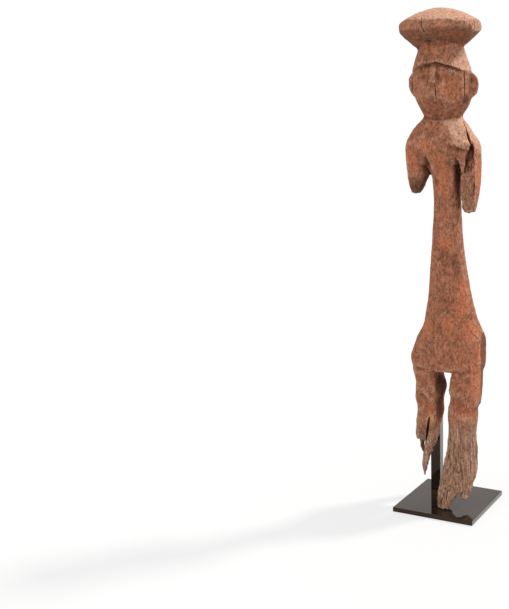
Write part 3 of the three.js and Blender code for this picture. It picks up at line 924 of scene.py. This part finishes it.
def mix_colors(tree, factor, under, over):
    """Mixes two colours. factor, under and over are sockets, or plain values."""
    node = tree.nodes.new("ShaderNodeMix")
    node.data_type = "RGBA"
    for place, value in ((MIX_FACTOR, factor), (MIX_UNDER, under), (MIX_OVER, over)):
        feed(tree, node.inputs[place], value)
    return node.outputs[MIX_RESULT]


def calculate(tree, operation, first, second):
    """One step of arithmetic on sockets or numbers, kept between 0 and 1."""
    node = tree.nodes.new("ShaderNodeMath")
    node.operation = operation
    node.use_clamp = True
    feed(tree, node.inputs[0], first)
    feed(tree, node.inputs[1], second)
    return node.outputs[0]


def noise_on(tree, where, stretch, scale, detail=4.0, low=0.35, high=0.65):
    """Noise on object coordinates, spread out to fill 0 to 1."""
    mapping = tree.nodes.new("ShaderNodeMapping")
    mapping.inputs["Scale"].default_value = stretch
    tree.links.new(where, mapping.inputs["Vector"])
    made = tree.nodes.new("ShaderNodeTexNoise")
    made.inputs["Scale"].default_value = scale
    made.inputs["Detail"].default_value = detail
    tree.links.new(mapping.outputs["Vector"], made.inputs["Vector"])
    spread = tree.nodes.new("ShaderNodeMapRange")
    spread.inputs["From Min"].default_value = low
    spread.inputs["From Max"].default_value = high
    tree.links.new(made.outputs["Fac"], spread.inputs["Value"])
    return spread.outputs["Result"]


def mask_on(tree, name):
    """The mask of that name, as stored on the mesh."""
    node = tree.nodes.new("ShaderNodeAttribute")
    node.attribute_name = name
    return node.outputs["Fac"]


print("material helpers ready")

# %% [markdown]
# ## Old painted wood
#
# The colour of each spot comes in layers: bare brown wood, red ochre over it, grey where
# it has weathered, dust and painted light on top, wear and painted highlights on the edges,
# and painted shade and darker patches in the hollows. Noise breaks up every layer, so that
# no edge is clean. Noise stretched along the trunk gives the fine lines of the grain, in the
# colour and in the bump.

# %% Wood material
DARK_BROWN = (0.205, 0.074, 0.036)
RED_BROWN = (0.40, 0.145, 0.075)
OCHRE = (0.50, 0.15, 0.068)
GREY_WOOD = (0.39, 0.23, 0.15)
# pale pink: dust, and painted light
PALE_DUST_AND_LIGHT = (0.60, 0.33, 0.225)
# paler still: wear, pale specks, and painted highlights
PORE_DUST_AND_HIGHLIGHT = (0.60, 0.37, 0.25)
# near black: dark pits and grain lines, and the painted shade and dark patches of the dark mask
SOOT_AND_SHADE = (0.045, 0.014, 0.006)
GLINTS_SHOW, PITS_SHOW, DARK_AND_SHADE_SHOWS = 0.34, 0.46, 0.85  # how strongly each covers what is under it
LINES_SHOW, GREY_LINES_SHOW = 0.15, 0.5  # on sound wood, and how much more on grey wood

wood, wood_shader = plain_surface("old_painted_wood", RED_BROWN, 0.85)
wood_shader.inputs["Specular IOR Level"].default_value = 0.15
tree = wood.node_tree
where = tree.nodes.new("ShaderNodeTexCoord").outputs["Object"]

speckle = noise_on(tree, where, (1, 1, 0.6), 240, 3.0, 0.36, 0.64)
glints = noise_on(tree, where, (1, 1, 0.6), 300, 3.0, 0.52, 0.68)
lines = noise_on(tree, where, (1, 1, 0.06), 240, 3.0, 0.38, 0.66)
pits = noise_on(tree, where, (1, 1, 0.6), 270, 3.0, 0.52, 0.66)

color = mix_colors(tree, mask_on(tree, "browns"), DARK_BROWN, RED_BROWN)
ochre_here = calculate(tree, "MULTIPLY", mask_on(tree, "ochre"), calculate(tree, "ADD", speckle, 0.35))
color = mix_colors(tree, ochre_here, color, OCHRE)
grey_here = calculate(tree, "MULTIPLY", mask_on(tree, "weathered"), calculate(tree, "ADD", speckle, 0.3))
color = mix_colors(tree, grey_here, color, GREY_WOOD)
# dust, and painted light on what faces up and on the lit planes
dust_and_light_here = calculate(tree, "MULTIPLY", mask_on(tree, "dust_and_light"), calculate(tree, "ADD", speckle, 0.5))
color = mix_colors(tree, dust_and_light_here, color, PALE_DUST_AND_LIGHT)
# wear, and painted highlights along lit edges
wear_and_highlights_here = calculate(tree, "MULTIPLY", mask_on(tree, "wear_and_highlights"), calculate(tree, "ADD", speckle, 0.1))
color = mix_colors(tree, wear_and_highlights_here, color, PORE_DUST_AND_HIGHLIGHT)
color = mix_colors(tree, calculate(tree, "MULTIPLY", glints, GLINTS_SHOW), color, PORE_DUST_AND_HIGHLIGHT)
color = mix_colors(tree, calculate(tree, "MULTIPLY", pits, PITS_SHOW), color, SOOT_AND_SHADE)
line_depth = calculate(tree, "MULTIPLY", mask_on(tree, "weathered"), GREY_LINES_SHOW)
line_depth = calculate(tree, "ADD", line_depth, LINES_SHOW)
color = mix_colors(tree, calculate(tree, "MULTIPLY", lines, line_depth), color, SOOT_AND_SHADE)
# the dark mask: painted shade in creases, recesses, between parts and on what faces down, and the darker
# patches of wood
color = mix_colors(tree, calculate(tree, "MULTIPLY", mask_on(tree, "dark"), DARK_AND_SHADE_SHOWS), color, SOOT_AND_SHADE)
tree.links.new(color, wood_shader.inputs["Base Color"])
print("wood colours:", len(tree.nodes), "nodes")

# %% [markdown]
# The same noise makes a fine bump, so that every dark pore is also a small pit. The bump
# only adds what is too fine for the mesh. Then the figure gets its material, takes the
# place of its solid and says which body it moves with.

# %% Wood bump and finish
BUMP_STRENGTH, BUMP_HEIGHT = 0.8, 0.0014

height = calculate(tree, "MULTIPLY", lines, 0.4)
height = calculate(tree, "ADD", height, calculate(tree, "MULTIPLY", speckle, 0.35))
height = calculate(tree, "ADD", height, 0.25)
height = calculate(tree, "SUBTRACT", height, calculate(tree, "MULTIPLY", pits, 0.5))
bump = tree.nodes.new("ShaderNodeBump")
bump.inputs["Strength"].default_value = BUMP_STRENGTH
bump.inputs["Distance"].default_value = BUMP_HEIGHT
tree.links.new(height, bump.inputs["Height"])
tree.links.new(bump.outputs["Normal"], wood_shader.inputs["Normal"])
figure.data.materials.append(wood)
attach(figure, "root")
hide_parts("carved_figure")
print("wood nodes:", len(tree.nodes))

# %% [markdown]
# ## The stand
#
# The plate and the post are bar stock, sawn square, with their edges just broken by a
# file, then blackened and waxed. Each starts as a cube at its true size. A narrow rounded
# bevel on the edges catches the light as the real edges do. Smooth shading would bend the
# mirror image in the flat faces, because it blends their normals with those of the bevel.
# Weighted normals let each large flat face keep its own.

# %% Plate and post
EDGE_RADIUS = 0.0012


def bar(name, low, high):
    """A square-edged bar between two corners, with narrow rounded edges."""
    low, high = Vector(low), Vector(high)
    bpy.ops.object.select_all(action="DESELECT")
    bpy.ops.mesh.primitive_cube_add(size=1, location=(low + high) / 2)
    made = bpy.context.object
    made.name = made.data.name = name
    made.scale = high - low
    bpy.ops.object.transform_apply(location=True, rotation=True, scale=True)
    apply_modifier(made, "BEVEL", width=EDGE_RADIUS, segments=3, limit_method="ANGLE")
    bpy.ops.object.shade_smooth()
    apply_modifier(made, "WEIGHTED_NORMAL", weight=100)
    return made


plate = bar("metal_plate", *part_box("base_plate"))
post = bar("metal_post", *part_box("support_post"))
print("plate", [round(v, 4) for v in plate.dimensions], "post", [round(v, 4) for v in post.dimensions])

# %% [markdown]
# ## Blackened steel
#
# Blackened steel is dark and glossy: the post and the foot mirror themselves in the
# plate. Wax and handling leave it unevenly shiny, so the roughness wanders a little. The
# sides that face the light get a painted reflection of paler grey, most of all near the
# top of the post.

# %% Metal material
BLACK_STEEL = (0.010, 0.006, 0.004)
DUSTY_STEEL = (0.035, 0.023, 0.016)
# paler grey for the painted reflection
REFLECTION_GREY = (0.19, 0.175, 0.16)
SMOOTHEST, ROUGHEST = 0.03, 0.08
SIDE_SKIN = 0.4  # what lies this close to the outermost point is on that side (mm)

metal, metal_shader = plain_surface("blackened_steel", BLACK_STEEL, 0.2)
metal_shader.inputs["Specular IOR Level"].default_value = 0.36
metal_shader.inputs["Specular Tint"].default_value = (1.0, 0.72, 0.56, 1)
tree = metal.node_tree
where = tree.nodes.new("ShaderNodeTexCoord").outputs["Object"]
smudges = noise_on(tree, where, (1, 1, 1), 14)
specks = noise_on(tree, where, (1, 1, 1), 420, 4.0, 0.55, 0.75)
color = mix_colors(tree, calculate(tree, "MULTIPLY", smudges, 0.5), BLACK_STEEL, DUSTY_STEEL)
color = mix_colors(tree, calculate(tree, "MULTIPLY", specks, 0.3), color, DUSTY_STEEL)
# painted reflection on the sides towards the light
color = mix_colors(tree, mask_on(tree, "painted_reflection"), color, REFLECTION_GREY)
tree.links.new(color, metal_shader.inputs["Base Color"])
shine = tree.nodes.new("ShaderNodeMapRange")
shine.inputs["To Min"].default_value = SMOOTHEST
shine.inputs["To Max"].default_value = ROUGHEST
tree.links.new(smudges, shine.inputs["Value"])
tree.links.new(shine.outputs["Result"], metal_shader.inputs["Roughness"])
places = places_of(post)
x, z = places[:, 0], places[:, 2]
# painted reflection on the post's side towards the light, stronger at the top, and on the plate's side
keep_mask(post, "painted_reflection", (x > x.max() - SIDE_SKIN) * np.where(z > z.mean(), 1.0, 0.7))
x = places_of(plate)[:, 0]
keep_mask(plate, "painted_reflection", (x > x.max() - SIDE_SKIN) * 0.6)
for piece, node in ((plate, "base_plate"), (post, "support_post")):
    piece.data.materials.append(metal)
    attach(piece, "root")
    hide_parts(node)
print("metal nodes:", len(tree.nodes))

# %% [markdown]
# ## Sizes
#
# The dressed figure keeps the size of the solid model.

# %% Finish
import json
